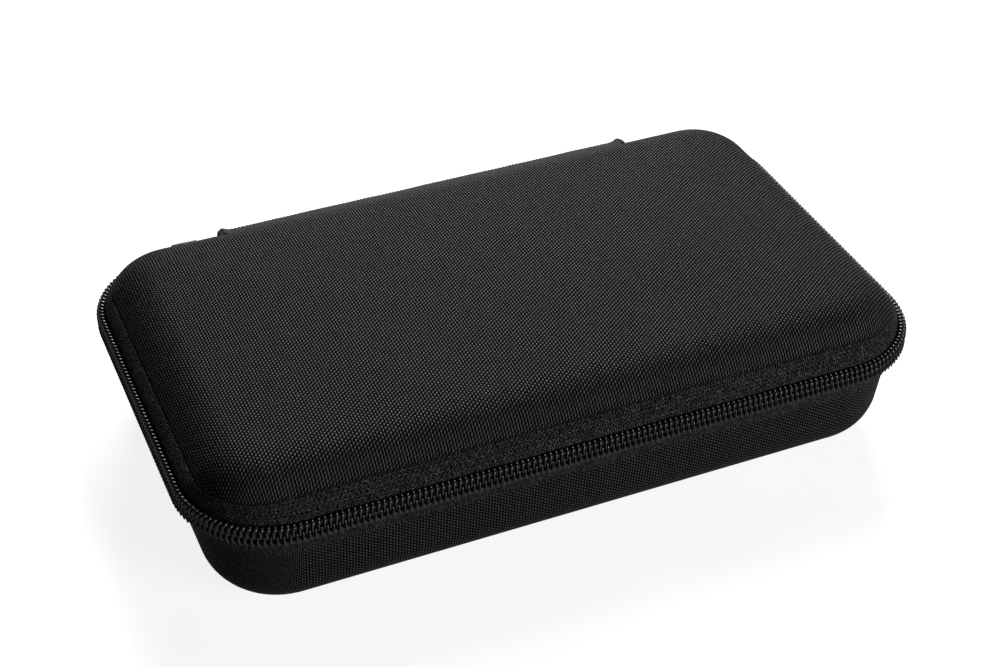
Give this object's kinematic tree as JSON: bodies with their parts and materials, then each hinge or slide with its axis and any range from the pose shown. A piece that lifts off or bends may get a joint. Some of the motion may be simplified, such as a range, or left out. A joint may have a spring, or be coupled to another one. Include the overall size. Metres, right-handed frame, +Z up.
{
  "type": "harmonica case",
  "caption": "Zip-round moulded case with a shallow domed lid, a webbing hinge and a foam insert with slots for small harmonicas.",
  "frame": {"origin": "middle of the flat floor face, on the surface that the case stands on", "axes": "+X along the length, +Y towards the hinge at the back, +Z up"},
  "size_m": [0.23, 0.146, 0.0528],
  "materials": {
    "shell_fabric": "coarse woven nylon over moulded foam",
    "lining": "brushed knit lining",
    "binding": "ribbed binding tape",
    "zip_tape": "knitted zip tape",
    "zip_coil": "nylon coil, slightly shiny",
    "pocket_net": "open polyester net",
    "insert_foam": "fine-celled closed foam",
    "webbing": "woven webbing",
    "thread": "bonded nylon thread",
    "slider_metal": "black enamelled die-cast",
    "grip_rubber": "soft moulded grip"
  },
  "bodies": {
    "base": {"base_shell": "shell_fabric", "base_lining": "lining", "base_binding": "binding", "lower_zip_tape": "zip_tape", "lower_zip_coil": "zip_coil", "upper_tape_tail": "zip_tape", "upper_coil_tail": "zip_coil", "insert_pad": "insert_foam", "foam_insert": "insert_foam", "hinge_strip": "webbing", "hinge_stitches_lower": "thread"},
    "lid": {"lid_shell": "shell_fabric", "lid_lining": "lining", "lid_binding": "binding", "upper_zip_tape": "zip_tape", "upper_zip_coil": "zip_coil", "mesh_pocket": "pocket_net", "pocket_elastic": "binding", "hinge_stitches_upper": "thread"},
    "slider": {"slider_body": "slider_metal"},
    "pull": {"pull_tab": "slider_metal", "pull_grip": "grip_rubber"}
  },
  "joints": [
    {"name": "lid_hinge", "type": "hinge", "parent": "base", "child": "lid", "pos_m": [0, 0.0715, 0.035], "axis": [-1, 0, 0], "range_deg": [0, 180], "deforming": ["hinge_strip", "upper_tape_tail", "upper_coil_tail"]},
    {"name": "slider_travel", "type": "slide", "parent": "base", "child": "slider", "axis": [-1, 0, 0], "range_m": [-0.0045, 0.0045]},
    {"name": "pull_swing", "type": "hinge", "parent": "slider", "child": "pull", "pos_m": [-0.08, 0.07405, 0.035], "axis": [1, 0, 0], "range_deg": [-8, 150]}
  ]
}
